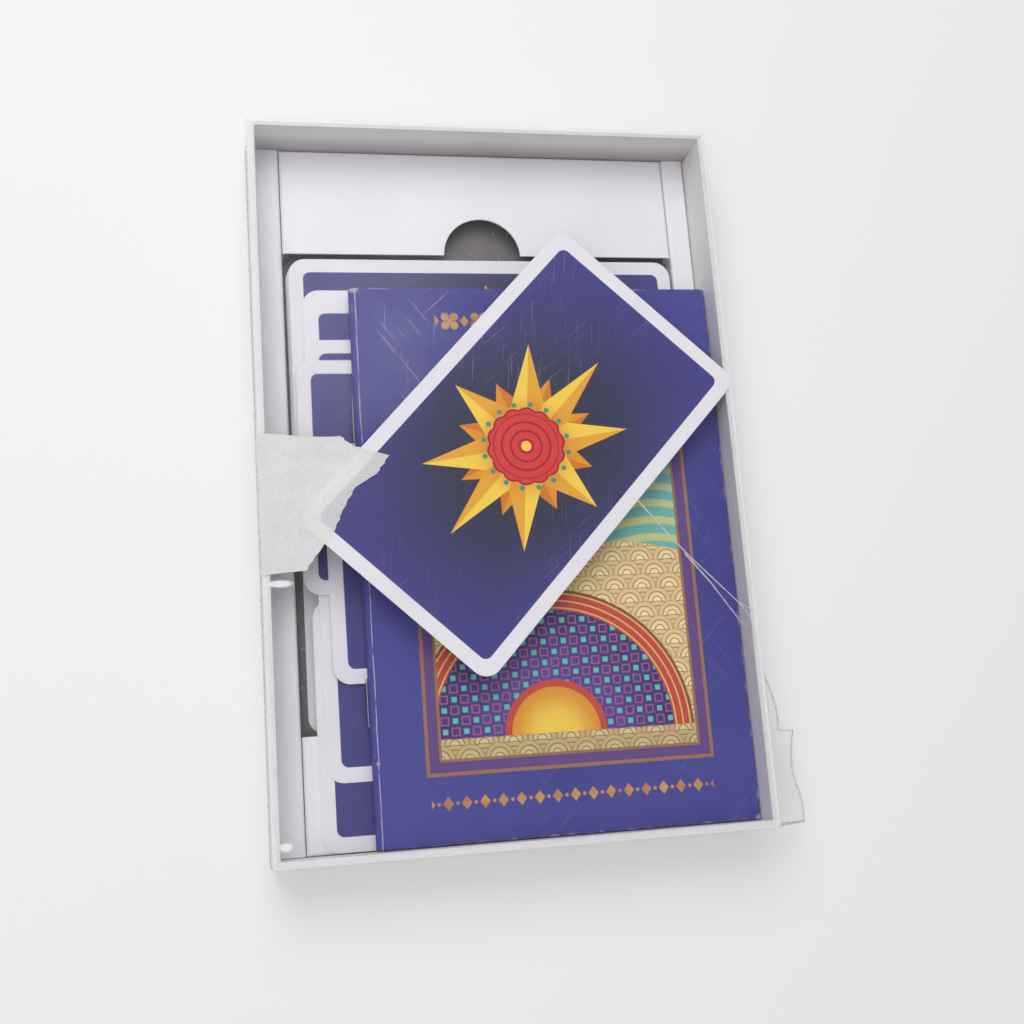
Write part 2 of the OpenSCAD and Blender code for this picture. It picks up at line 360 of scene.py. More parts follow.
# %% [markdown]
# ## Card print
#
# A card is varnished board with a white border and a deep blue back, darker in the middle.
# Its ornament here is a faceted sun: two stars of gold rays behind a red disc with rings.
# Every card carries the same print, so it is drawn once, on the card's own map,
# in millimetres from its middle.

# %% Card ornament
CARD_L, CARD_W, CARD_T, CARD_R = 120, 70, 0.4, 5
CARD_BORDER = 4.2
CARD_PRINT_R = 2.2
GOLD = colour(247, 208, 84)
AMBER = colour(226, 150, 52)
ORANGE = colour(206, 112, 48)
RED = colour(214, 66, 68)
DARK_RED = colour(150, 34, 48)
INDIGO = colour(71, 69, 132)
NIGHT = colour(58, 59, 78)
TEAL = colour(70, 150, 120)


def card_place(base):
    u, v, unused = parts(base.node("TexCoord", output=2))
    return (u - 0.5) * CARD_L, (v - 0.5) * CARD_W


def printed_area(x, y):
    return rounded_box(x, y, CARD_L / 2 - CARD_BORDER, CARD_W / 2 - CARD_BORDER, CARD_PRINT_R)


def sun_ornament(x, y, ground):
    """Gold rays and a red disc over a ground colour."""
    radius = length(x, y)
    for points, reach, valley, stretch, light, dark in (
            (8, 20, 11.5, 0.9, AMBER, ORANGE), (8, 27, 11.5, 0.78, GOLD, AMBER)):
        turn = math.pi / 8 if reach == 20 else 0
        wide = x * (stretch * math.cos(turn)) + y * math.sin(turn)
        high = y * math.cos(turn) - x * (stretch * math.sin(turn))
        edge, side = star(wide, high, points, reach, valley)
        ray = paint(light, dark, inside(side, 0.15) * 0.75)
        ray = paint(ray, ORANGE, ramp(radius, 17, 8) * 0.7)
        ground = paint(ground, ray, inside(edge))
    angle = x.maths("ARCTAN2", y, x)
    scallop = radius - 10.4 - abs((angle * 7).sine()) * 0.8
    bead = length(radius - 12.6, repeat(angle + math.pi / 16, math.pi / 8) * 12.6) - 0.75
    rings = inside(abs(repeat(radius + 0.6, 2.6)) - 0.32)
    ground = paint(ground, TEAL, inside(bead))
    ground = paint(ground, DARK_RED, inside(scallop - 0.5))
    ground = paint(ground, RED, inside(scallop))
    ground = paint(ground, DARK_RED, rings * inside(radius - 9.8) * 0.8)
    return paint(ground, GOLD, inside(radius - 1.5))


print("card is", CARD_L, "by", CARD_W, "mm with a border of", CARD_BORDER)


# %% Card back, face and edge
def varnish(shader, place):
    """Gloss with the faint rubbing of a handled card."""
    rub = ramp(grain(place, 90, 4), 0.4, 0.75)
    feed(shader, Roughness=0.3 + rub * 0.12, Coat_Weight=0.12 - rub * 0.06)
    shader.inputs["Coat Roughness"].default_value = 0.2
    shader.inputs["Specular IOR Level"].default_value = 0.18


def card_back_print():
    material, base, shader = blank("card_back_print")
    x, y = card_place(base)
    place = base.node("TexCoord", output=3)
    ground = paint(NIGHT, INDIGO, ramp(length(x, y * 1.25), 20, 60))
    ground = paint(ground, colour(84, 80, 142), ramp(grain(place, 40, 4), 0.45, 0.8) * 0.2)
    printed = sun_ornament(x, y, ground)
    frame_edge = printed_area(x, y)
    white = paint(colour(234, 231, 238), colour(224, 220, 229), ramp(grain(place, 50, 4), 0.45, 0.75) * 0.5)
    patch = ramp(grain(place, 24, 3), 0.4, 0.65)
    scratch = hairlines(place, 0.1) * patch * 0.16 + hairlines(place, 0.9) * patch * 0.12
    printed = paint(printed, colour(206, 204, 218), scratch)
    feed(shader, Base_Color=paint(white, printed, inside(frame_edge)))
    varnish(shader, place)
    return material


def card_face_print():
    material, base, shader = blank("card_face_print")
    x, y = card_place(base)
    place = base.node("TexCoord", output=3)
    paper = paint(colour(238, 236, 236), colour(226, 222, 222), ramp(grain(place, 60, 4), 0.4, 0.8) * 0.5)
    panel = rounded_box(x, y, CARD_L / 2 - 6, CARD_W / 2 - 6, 2)
    face = paint(paper, colour(236, 222, 184), inside(panel))
    face = paint(face, AMBER, inside(abs(panel + 0.6) - 0.35))
    face = paint(face, AMBER, inside(abs(panel + 2) - 0.15))
    feed(shader, Base_Color=face)
    varnish(shader, place)
    return material


def card_edge_finish():
    material, base, shader = blank("card_edge")
    fibre = grain(base.node("TexCoord", output=3), 1800, 4)
    feed(shader, Base_Color=paint(colour(236, 235, 238), colour(206, 203, 206), ramp(fibre, 0.45, 0.75)),
         Roughness=0.6 + fibre * 0.2)
    return material


card_finishes = [card_back_print(), card_face_print(), card_edge_finish()]
print("card finishes", [material.name for material in card_finishes])

# %% [markdown]
# ## Helpers for modelling
#
# Operators work on the selection of the active object, so each step starts from a clean selection.
# Faces, edges and points are then picked in code by their place, as a hand would pick them on the screen.

# %% Selection and finishing helpers
def start_clean():
    """Leaves edit mode and lets go of everything."""
    if bpy.context.mode != "OBJECT":
        bpy.ops.object.mode_set(mode="OBJECT")
    bpy.ops.object.select_all(action="DESELECT")


def hold(piece):
    """Makes a piece the only selected and the active one."""
    start_clean()
    piece.select_set(True)
    bpy.context.view_layer.objects.active = piece


def pick(kind, test):
    """Selects the points, edges or faces for which a test holds, in edit mode."""
    bpy.ops.mesh.select_mode(type=kind)
    bpy.ops.mesh.select_all(action="DESELECT")
    shape = bmesh.from_edit_mesh(bpy.context.object.data)
    for element in {"VERT": shape.verts, "EDGE": shape.edges, "FACE": shape.faces}[kind]:
        if test(element):
            element.select_set(True)
    shape.select_flush_mode()
    bmesh.update_edit_mesh(bpy.context.object.data)


def middle(edge):
    return (edge.verts[0].co + edge.verts[1].co) / 2


def apply_all(piece):
    bpy.context.view_layer.objects.active = piece
    for modifier in list(piece.modifiers):
        bpy.ops.object.modifier_apply(modifier=modifier.name)


def dress(piece, name, body, materials, stands_for=()):
    """Names a piece, gives it its finishes, and hangs it on its body."""
    piece.name = name
    piece.data.name = name
    for material in materials[len(piece.data.materials):]:
        piece.data.materials.append(material)
    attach(piece, body)
    if stands_for:
        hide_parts(*stands_for)
    return piece


def flat_node_place(node, long_axis):
    """Where a flat solid lies: a matrix from its own axes, with its long edge along x or y and z upwards."""
    points = np.array([vertex.co for vertex in nodes[node].data.vertices])
    points = np.unique(np.round(points, 7), axis=0)
    centre = (points.min(0) + points.max(0)) / 2
    axes = [Vector(axis) for axis in np.linalg.svd(points - points.mean(0), full_matrices=False)[2]]
    upward = axes[2] if axes[2].z > 0 else -axes[2]
    if long_axis == "x":
        across = axes[0] if axes[0].x > 0 else -axes[0]
    else:
        across = axes[1] if axes[1].x > 0 else -axes[1]
    turn = Matrix((across, upward.cross(across), upward)).transposed().to_4x4()
    return Matrix.Translation(centre) @ turn


print("first card lies at", [round(value / MM, 2) for value in flat_node_place("card_01", "x").translation])

# %% [markdown]
# ## Cards
#
# A die cuts the cards from printed sheets, which gives round corners and a slightly softened edge.
# A plane is scaled, its corners are bevelled as points, and it is extruded to the board's thickness.
# One blank is modelled, and each copy gets its own mesh in the place of its solid.

# %% One card blank
CARD_SOFT = 0.06


def card_blank():
    start_clean()
    bpy.ops.mesh.primitive_plane_add(size=MM)
    blank_card = bpy.context.object
    bpy.ops.object.mode_set(mode="EDIT")
    bpy.ops.transform.resize(value=(CARD_L, CARD_W, 1), center_override=(0, 0, 0))
    bpy.ops.mesh.bevel(offset=CARD_R * MM, segments=10, affect="VERTICES")
    bpy.ops.transform.translate(value=(0, 0, -CARD_T / 2 * MM))
    bpy.ops.mesh.extrude_region_move(TRANSFORM_OT_translate={"value": (0, 0, CARD_T * MM)})
    bpy.ops.mesh.select_all(action="SELECT")
    bpy.ops.mesh.normals_make_consistent(inside=False)
    pick("EDGE", lambda edge: abs(edge.verts[0].co.z - edge.verts[1].co.z) < 0.01 * MM)
    bpy.ops.mesh.bevel(offset=CARD_SOFT * MM, segments=2, affect="EDGES")
    bpy.ops.object.mode_set(mode="OBJECT")
    mesh = blank_card.data
    chart = mesh.uv_layers[0]
    for face in mesh.polygons:
        flat = abs(face.normal.z) > 0.99
        face.material_index = (0 if face.normal.z > 0 else 1) if flat else 2
        for corner in face.loop_indices:
            point = mesh.vertices[mesh.loops[corner].vertex_index].co / MM
            chart.data[corner].uv = (point.x / CARD_L + 0.5, point.y / CARD_W + 0.5)
    return blank_card


blank_card = card_blank()
print("card blank has", len(blank_card.data.polygons), "faces")

# %% Cards in the well and on the lid
card_bodies = {name: name for name in nodes if name.startswith("card_")}
card_bodies["sample_card"] = "lid"
for name, body in card_bodies.items():
    hold(blank_card)
    bpy.ops.object.duplicate(linked=False)
    card = bpy.context.object
    card.data.transform(flat_node_place(name, "x"))
    dress(card, "printed_" + name, body, card_finishes, [name])
start_clean()
bpy.data.objects.remove(blank_card)
print("placed", len(card_bodies), "cards")

# %% [markdown]
# ## Booklet cover
#
# The cover is varnished paper, printed blue, and folded round the pages.
# Its ornament here is two rows of gold rosettes, a framed panel with scallops and a half sun,
# and a row of diamonds.
# The white paper core shows as a thin line along the fold and as nicks along the edges.
# The print reads Object coordinates, so the turning half and the half with the spine share one drawing.

# %% Cover panel
BOOK_LEFT = COVER_LOW.x / MM
BOOK_LOW = COVER_LOW.y / MM
BOOK_W = (COVER_HIGH.x - COVER_LOW.x) / MM
BOOK_L = (COVER_HIGH.y - COVER_LOW.y) / MM
PANEL_MIDDLE = 56.8
PANEL_LOW, PANEL_HIGH = 18.5, 124
PANEL_W = 84
BRONZE = colour(158, 116, 86)
PURPLE = colour(102, 74, 134)
OCHRE = colour(232, 202, 146)
BROWN = colour(120, 84, 52)
COVER_BLUE = colour(76, 76, 152)


FRAME_W = 4.2
COVER_FOLD = 1.7
ROSETTE_ROWS = ((152, 31.5), (131, 36))
DIAMOND_ROW, DIAMOND_HALF, DIAMOND_PITCH = 11, 41, 5.2


def scallops(x, y, pitch):
    """Rows of overlapping arcs: the distance from the middle of the arc that lies on top."""
    row = (y / (pitch / 2)).floor()
    shift = abs(repeat(row, 2)) * (pitch / 2)
    low = y - row * (pitch / 2)
    near = length(repeat(x - shift, pitch), low)
    far = length(repeat(x - shift + pitch / 2, pitch), low + pitch / 2)
    on_near = inside(near - pitch / 2, 0.05)
    return near * on_near + far * (1 - on_near)


def panel_picture(x, y):
    """A field of scallops, a half sun with bands, and bands of sky. y rises from the panel's lower edge."""
    arc = scallops(x, y, 8.4)
    field = paint(OCHRE, colour(250, 232, 176), ramp(arc, 3.6, 1.0))
    field = paint(field, BROWN, inside(abs(repeat(arc, 1.4)) - 0.16) * 0.75)
    field = paint(field, colour(70, 52, 44), ramp(y, 26, 0) * 0.35)
    radius = length(x + 4, y - 10)
    rise = inside(10 - y)
    lattice = abs(repeat(x + y, 6)) + abs(repeat(x - y, 6))
    band = paint(colour(84, 72, 150), colour(58, 58, 120), ramp(radius, 16, 36))
    band = paint(band, colour(110, 190, 176), inside(lattice - 1.5))
    band = paint(band, colour(196, 96, 120), inside(abs(lattice - 3.9) - 0.35) * 0.8)
    hem = paint(colour(198, 78, 66), colour(226, 190, 110), inside(abs(repeat(radius, 2.1)) - 0.22))
    sun = paint(GOLD, AMBER, ramp(radius, 4, 13))
    picture = paint(field, BROWN, inside(radius - 41) * rise)
    picture = paint(picture, hem, inside(radius - 40.4) * rise)
    picture = paint(picture, band, inside(radius - 35) * rise)
    picture = paint(picture, colour(198, 78, 66), inside(radius - 15) * rise)
    picture = paint(picture, sun, inside(radius - 13) * rise)
    stripes = (y * 1.2 + (x * 0.16).sine() * 1.6).sine()
    sky = paint(colour(112, 186, 176), colour(226, 214, 130), ramp(stripes, -0.2, 0.6) * 0.7)
    sky = paint(sky, colour(92, 150, 190), ramp(y, 74, 100))
    return paint(picture, sky, inside(62 + (x * 0.09).sine() * 2.5 - y))


print("panel is", PANEL_W, "by", PANEL_HIGH - PANEL_LOW, "mm")


# %% Cover print
def rosettes(across, rise, half, pitch=9.0):
    """The distance to a row of four-petalled flowers, with a diamond between two of them."""
    step = repeat(across, pitch)
    petals = length(abs(step) - 1.35, abs(rise) - 1.35) - 1.25
    heart = length(step, rise) - 0.7
    diamond = abs(repeat(across + pitch / 2, pitch)) + abs(rise) * 0.7 - 1.3
    flower = petals.at_least(0.35 - length(step, rise)).at_most(heart)
    return flower.at_most(diamond).at_least(abs(across) - half)


def cover_wear(place, x, y):
    """White paper that shows along the fold, at its corner, and in nicks along the cut edges."""
    nick = grain(place, 420, 5)
    wander = (grain(place, 70, 3) - 0.5) * 0.9 + (grain(place, 600, 3) - 0.5) * 0.5
    fold = inside(abs(x - COVER_FOLD + wander) - 0.1, 0.1) * ramp(grain(place, 150, 4), 0.34, 0.5)
    fleck = ramp(abs(x - COVER_FOLD), 1.5, 0.2) * ramp(nick, 0.64, 0.74)
    edge = (BOOK_W - x).at_most(BOOK_L - y).at_most(y)
    corner = length(x - 1.5, y - BOOK_L) - 1.4
    cut = ramp(edge, 0.7, 0) * ramp(nick, 0.52, 0.64)
    end = length(x - BOOK_W, y) - 1.2
    blunt = inside(corner, 0.6).at_least(inside(end, 0.8))
    return (fold * 0.8).at_least(fleck * 0.6).at_least(cut * 0.4).at_least(blunt * 0.6)


def cover_print():
    material, base, shader = blank("printed_cover")
    place = base.node("TexCoord", output=3)
    wide, high, unused = parts(place)
    x = wide / MM - BOOK_LEFT
    y = high / MM - BOOK_LOW
    cloud = grain(place, 22, 5)
    ground = paint(COVER_BLUE, colour(68, 67, 142), ramp(cloud, 0.35, 0.75))

    across = x - PANEL_MIDDLE
    up = y - PANEL_LOW
    half_high = (PANEL_HIGH - PANEL_LOW) / 2
    panel = rounded_box(across, up - half_high, PANEL_W / 2, half_high, 0.3)
    ground = paint(ground, PURPLE, inside(panel))
    ground = paint(ground, BRONZE, inside(abs(panel + 0.5) - 0.5))
    ground = paint(ground, panel_picture(across, up), inside(panel + FRAME_W))
    ground = paint(ground, BRONZE, inside(abs(panel + FRAME_W) - 0.4))

    gold_leaf = paint(colour(206, 158, 96), colour(172, 120, 80), ramp(grain(place, 180, 4), 0.35, 0.7))
    diamonds = abs(repeat(across, DIAMOND_PITCH)) + abs(y - DIAMOND_ROW) * 0.8 - 1.5
    dots = length(repeat(across + DIAMOND_PITCH / 2, DIAMOND_PITCH), y - DIAMOND_ROW) - 0.5
    ornament = diamonds.at_most(dots).at_least(abs(across) - DIAMOND_HALF)
    for row, half in ROSETTE_ROWS:
        ornament = ornament.at_most(rosettes(across, y - row, half))
    ground = paint(ground, gold_leaf, inside(ornament))

    worn = cover_wear(place, x, y)
    scuff = ramp(grain(place, 160, 6, stretch=(0.35, 1, 1)), 0.62, 0.8) * 0.08
    ground = paint(ground, colour(168, 164, 196), scuff)
    handled = ramp(y - x * 0.6, 30, 130, 0.25, 1.0) * ramp(grain(place, 26, 3), 0.36, 0.6)
    scratch = (hairlines(place, 0.04) * 0.26 + hairlines(place, -0.62, 0.012) * 0.5
               + hairlines(place, 0.8, 0.02) * 0.42) * handled
    ground = paint(ground, colour(190, 190, 216), scratch)
    feed(shader, Base_Color=paint(ground, colour(216, 213, 218), worn),
         Roughness=0.36 + worn * 0.3 + cloud * 0.12, Normal=bump(cloud, 0.0004, 0.2))
    shader.inputs["Specular IOR Level"].default_value = 0.18
    return material


printed_cover = cover_print()
nodes["booklet_back_cover"].material_slots[0].material = printed_cover
print("booklet is", round(BOOK_W, 1), "by", round(BOOK_L, 1), "mm")

# %% [markdown]
# ## Front cover
#
# A cover that has been opened lifts a little towards its free edge, and its corners are blunt.
# A grid is shaped point by point and then given the paper's thickness by Solidify.
# It only rises, because the first page lies right under it.

# %% Front cover sheet
COVER_T = 0.3
COVER_RISE = 0.7


def front_cover():
    place = flat_node_place("booklet_front_cover", "y")
    solid = nodes["booklet_front_cover"].data
    corners = np.array([place.inverted() @ vertex.co for vertex in solid.vertices])
    size = (corners.max(0) - corners.min(0)) / MM
    start_clean()
    bpy.ops.mesh.primitive_grid_add(x_subdivisions=44, y_subdivisions=66, size=MM)
    cover = bpy.context.object
    bpy.ops.object.mode_set(mode="EDIT")
    bpy.ops.transform.resize(value=(size[0], size[1], 1), center_override=(0, 0, 0))
    far = size[0] / 2 * MM - 0.01 * MM
    tip = size[1] / 2 * MM - 0.01 * MM
    pick("VERT", lambda point: point.co.x > far and abs(point.co.y) > tip)
    bpy.ops.mesh.bevel(offset=1.0 * MM, segments=4, affect="VERTICES")
    bpy.ops.object.mode_set(mode="OBJECT")
    for vertex in cover.data.vertices:
        share = vertex.co.x / (size[0] * MM) + 0.5
        ripple = noise.noise(vertex.co * 22) * 0.5 + 0.5
        vertex.co.z = (COVER_RISE * share ** 3 + 0.25 * ripple * share) * MM - COVER_T / 2 * MM
    sheet = cover.modifiers.new("paper", "SOLIDIFY")
    sheet.thickness = COVER_T * MM
    sheet.offset = 1
    sheet.use_even_offset = True
    apply_all(cover)
    for face in cover.data.polygons:
        face.material_index = 0 if face.normal.z > -0.5 else 1
    bpy.ops.object.shade_smooth_by_angle(angle=math.radians(30))
    cover.data.transform(place)
    return dress(cover, "turning_cover", "front_cover",
                 [printed_cover, page_paper], ["booklet_front_cover"])


turning_cover = front_cover()
print("front cover has", len(turning_cover.data.polygons), "faces")

# %% [markdown]
# ## Clear film
#
# The lid is folded from stiff clear film. It is clear in most places, scratched where things slid over it,
# and milky along its cut edges and, where bending has stretched it, along its folds; the white of the folds
# is partly painted highlight.
# A few small white spots on its top are painted highlights, and the rubbed patch has a faint painted sheen.
# Glass would be slow and dark for such a thin sheet, so light passes straight through,
# and a second layer is mixed in: a mirror that shows at a slant, or white where the film is milky.
# Only the outer face is milky, because the inner one gets no light and would darken what lies under it.

# %% Film finish
LID_LOW, LID_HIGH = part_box("lid")
FILM_IOR = 1.4
RUBBED_PLACE = (-30, 36)
RUBBED_SIZE = (22, 30)
FILM_HIGHLIGHT_SPOTS = [((-66.2, -31.6), (4.4, 1.3)), ((-67.2, -101.3), (2.2, 1.5))]


def layer(base, mask, under, over):
    """Lays one shader over another where a mask is 1, and sends the two to the surface."""
    mixed = base.node("MixShader", inputs={0: mask, 1: under, 2: over})
    base.tree.links.new(mixed.socket, base.tree.nodes["Material Output"].inputs["Surface"])


def oval(x, y, centre, half):
    """Distance from an oval's centre, as a share of its half sizes in millimetres."""
    return length((x / MM - centre[0]) / half[0], (y / MM - centre[1]) / half[1])


def film_inside():
    """The film's inner face: clear, with a little gloss."""
    material, base, shader = blank("film_inside")
    cloud = grain(base.node("TexCoord", output=3), 40, 3)
    feed(shader, Base_Color=paint(colour(240, 240, 244), colour(226, 226, 232), cloud), Metallic=1.0,
         Roughness=0.08 + cloud * 0.1)
    gloss = base.node("Fresnel", inputs={"IOR": FILM_IOR}) * 0.15
    layer(base, gloss, base.node("BsdfTransparent"), Wire(base.tree, shader.outputs[0]))
    return material


def film_finish(name, white, milk_all):
    material, base, shader = blank(name)
    place = base.node("TexCoord", output=3)
    x, y, z = parts(place)
    on_top = ramp(z, LID_HIGH.z - 1 * MM, LID_HIGH.z)
    rubbed = ramp(oval(x, y, RUBBED_PLACE, RUBBED_SIZE), 1.25, 0.1) * on_top
    patch = ramp(grain(place, 30, 3), 0.42, 0.62)
    scratch = (hairlines(place, 0.06, 0.03) * 0.7 + hairlines(place, 0.75, 0.02) * 0.35
               + hairlines(place, -0.5, 0.02) * 0.35) * (rubbed * 0.2 + patch * 0.015)
    side = (LID_HIGH.x - abs(x)).at_most(LID_HIGH.y - abs(y))
    # Along the folds the white is partly film stretched by bending and partly painted highlight.
    fold = ramp(side, 3.2 * MM, 0.9 * MM) * ramp(z, LID_HIGH.z - 0.5 * MM, LID_HIGH.z - 0.1 * MM)
    flap = ramp(x, LID_HIGH.x + 0.4 * MM, LID_HIGH.x + 3 * MM) * 0.06
    # Painted highlights: small white spots on the film's top that stand in for glints of the lamp.
    highlight_spots = sum(ramp(oval(x, y, *mark), 1.0, 0.45) for mark in FILM_HIGHLIGHT_SPOTS) * on_top * 0.85
    # Partly scuffing and partly painted sheen: a faint white veil over the rubbed patch.
    scuff_and_sheen = rubbed * ramp(grain(place, 60, 4), 0.2, 0.8, 0.0, 0.05)
    milk = (scuff_and_sheen + scratch + fold * 0.6 + flap + highlight_spots + milk_all + 0.004).at_most(1)
    swell = grain(place, 26, 3)
    normal = bump(swell, 0.0006, 0.5)
    gloss = base.node("Fresnel", inputs={"IOR": FILM_IOR, "Normal": normal}) * 0.22
    mask = (gloss + milk).at_most(1)
    feed(shader, Base_Color=white, Metallic=gloss / mask, Roughness=0.08 + milk * 0.5, Normal=normal)
    layer(base, mask, base.node("BsdfTransparent"), Wire(base.tree, shader.outputs[0]))
    return material


def film_line(name, light, dark):
    """A cut or cracked edge of film, which gathers light and shows as a thin uneven line."""
    material, base, shader = blank(name)
    speck = grain(base.node("TexCoord", output=3), 700, 3)
    feed(shader, Base_Color=paint(light, dark, speck), Roughness=0.2 + speck * 0.2,
         Alpha=ramp(speck, 0.25, 0.7, 0.35, 0.9))
    return material


clear_film = film_finish("clear_film", colour(244, 243, 247), 0.0)
film_edge = film_finish("film_edge", colour(208, 209, 209), 0.85)
print("lid film from", round(LID_LOW.z / MM, 2), "to", round(LID_HIGH.z / MM, 2), "mm")

# %% [markdown]
# ## Lid
#
# The lid is a shallow box of film with soft folds and cut lower edges.
# Near one corner the skirt has torn loose: it springs outwards and a piece of it has broken off.
# A cube without its bottom is bevelled and cut into strips, so that one side can be bent point by point.
# Solidify gives the film its thickness, and puts the second finish on its rim and the third inside.
# A fine bead along the cut edges makes them show from afar, as real ones do.

# %% Film lid
FILM_T = 0.35
FOLD_R = 0.68
CORNER_R = 0.7
STRIP_START, STRIP_W, STRIP_N = -106, 2.6, 24
STRIP_DEPTHS = (4, 8, 12, 15)
NEAR = 0.02 * MM


def film_lid():
    size = LID_HIGH - LID_LOW
    start_clean()
    bpy.ops.mesh.primitive_cube_add(size=1, location=(LID_LOW + LID_HIGH) / 2)
    lid = bpy.context.object
    bpy.ops.object.transform_apply(location=True)
    bpy.ops.object.mode_set(mode="EDIT")
    bpy.ops.transform.resize(value=size, center_override=(LID_LOW + LID_HIGH) / 2)
    pick("FACE", lambda face: face.normal.z < -0.9)
    bpy.ops.mesh.delete(type="FACE")
    pick("EDGE", lambda edge: abs(edge.verts[0].co.z - edge.verts[1].co.z) > 1 * MM)
    bpy.ops.mesh.bevel(offset=CORNER_R * MM, segments=2, affect="EDGES")
    pick("EDGE", lambda edge: middle(edge).z > LID_HIGH.z - NEAR)
    bpy.ops.mesh.bevel(offset=FOLD_R * MM, segments=6, affect="EDGES")
    for step in range(STRIP_N):
        bpy.ops.mesh.select_all(action="SELECT")
        bpy.ops.mesh.bisect(plane_co=(0, (STRIP_START + STRIP_W * step) * MM, 0), plane_no=(0, 1, 0))
    for depth in STRIP_DEPTHS:
        bpy.ops.mesh.select_all(action="SELECT")
        bpy.ops.mesh.bisect(plane_co=(0, 0, LID_HIGH.z - depth * MM), plane_no=(0, 0, 1))
    bpy.ops.object.mode_set(mode="OBJECT")
    return lid


lid = film_lid()
print("lid sheet has", len(lid.data.polygons), "faces")

# %% Sprung skirt
TEAR_Y = -46
CHIP_Y = (-81, -61)
CHIP_DEPTH = 8
SPRING_ANGLE = math.radians(45)
SPRING_RUN = 34


def chipped(face):
    """Whether a face belongs to the piece that has broken off."""
    centre = face.calc_center_median()
    along = CHIP_Y[0] * MM < centre.y < CHIP_Y[1] * MM
    return face.normal.x > 0.95 and along and centre.z < LID_HIGH.z - CHIP_DEPTH * MM


def spring_loose(lid):
    """Splits the skirt at its corner and bends its right side outwards."""
    fold_z = LID_HIGH.z - FOLD_R * MM
    bpy.ops.object.mode_set(mode="EDIT")
    pick("EDGE", lambda edge: middle(edge).z < fold_z and abs(middle(edge).x - LID_HIGH.x) < NEAR
         and abs(middle(edge).y - LID_LOW.y - CORNER_R * MM) < NEAR)
    bpy.ops.mesh.edge_split(type="EDGE")
    pick("FACE", chipped)
    bpy.ops.mesh.delete(type="FACE")
    bpy.ops.object.mode_set(mode="OBJECT")
    for vertex in lid.data.vertices:
        point = vertex.co
        if point.x > LID_HIGH.x - NEAR and point.z < fold_z and point.y < TEAR_Y * MM:
            share = min(1, (TEAR_Y * MM - point.y) / (SPRING_RUN * MM))
            wobble = 1 + 0.25 * noise.noise(point * 60)
            angle = SPRING_ANGLE * share * share * (3 - 2 * share) * wobble
            depth = fold_z - point.z
            point.x += math.sin(angle) * depth
            point.z = fold_z - math.cos(angle) * depth


spring_loose(lid)
print("skirt reaches out to", round(max(vertex.co.x for vertex in lid.data.vertices) / MM, 1), "mm")

# %% Cut edges and thickness
CUT_EDGE_R = 0.18


def cut_edges(lid):
    """A fine bead along every open edge of the lid's sheet."""
    hold(lid)
    bpy.ops.object.duplicate(linked=False)
    bead = bpy.context.object
    bpy.ops.object.mode_set(mode="EDIT")
    pick("EDGE", lambda edge: not edge.is_boundary)
    bpy.ops.mesh.delete(type="EDGE")
    bpy.ops.object.mode_set(mode="OBJECT")
    bpy.ops.object.convert(target="CURVE")
    bead.data.bevel_depth = CUT_EDGE_R * MM
    bead.data.bevel_resolution = 2
    bead.data.use_fill_caps = True
    bpy.ops.object.convert(target="MESH")
    finish = film_line("film_cut_edge", colour(244, 245, 244), colour(206, 208, 206))
    return dress(bpy.context.object, "film_cut_edges", "lid", [finish])


bead = cut_edges(lid)
hold(lid)
film_finishes = [clear_film, film_edge, film_inside()]
for finish in film_finishes:
    lid.data.materials.append(finish)
film = lid.modifiers.new("film", "SOLIDIFY")
film.thickness = FILM_T * MM
film.offset = -1
film.material_offset_rim = 1
film.material_offset = 2
apply_all(lid)
bpy.ops.object.shade_smooth_by_angle(angle=math.radians(40))
dress(lid, "film_lid", "lid", film_finishes, ["lid"])
print("film lid has", len(lid.data.polygons), "faces and its cut edges", len(bead.data.polygons))

# %% [markdown]
# ## Crack in the film
#
# A crack runs over the film from the card to the torn corner and shows as bright hairlines.
# It could be part of the finish, but a thin raised seam also catches light from the side.
# Each line is a curve with a fine round section that becomes thinner towards its end.

# %% Crack lines
CRACK_LINES = {
    "crack_main": [(37.6, -11.3), (46.8, -22.7), (51.7, -28.3), (65.2, -42.4), (68.5, -47), (69.2, -54)],
    "crack_side": [(50.4, -27.5), (57.6, -36.6), (64.6, -47.1), (66.5, -49.5)],
    "crack_end": [(65.2, -42.4), (69.4, -45.2)],
}
CRACK_R = 0.24


def crack_line(name, points, finish):
    curve = bpy.data.curves.new(name, "CURVE")
    curve.dimensions = "3D"
    curve.bevel_depth = CRACK_R * MM
    curve.bevel_resolution = 2
    curve.use_fill_caps = True
    spline = curve.splines.new("POLY")
    spline.points.add(len(points) - 1)
    for number, (point, (x, y)) in enumerate(zip(spline.points, points)):
        point.co = (x * MM, y * MM, LID_HIGH.z, 1)
        point.radius = 1.2 - 0.8 * number / (len(points) - 1)
    line = bpy.data.objects.new(name, curve)
    bpy.context.collection.objects.link(line)
    hold(line)
    bpy.ops.object.convert(target="MESH")
    return dress(bpy.context.object, name, "lid", [finish])


seam = film_line("film_crack", colour(236, 236, 244), colour(188, 188, 204))
for name, points in CRACK_LINES.items():
    crack_line(name, points, seam)
print("cracks", list(CRACK_LINES))

# %% [markdown]
# ## Masking tape
#
# Masking tape is creped paper: fine ridges run across it, it lets some light through, and it tears unevenly.
# This piece was pressed down by hand, so it has wrinkles and follows the step of the card beneath it.
# A grid is laid from the skirt, round the lid's fold and over the top,
# and each point is then lifted a little.

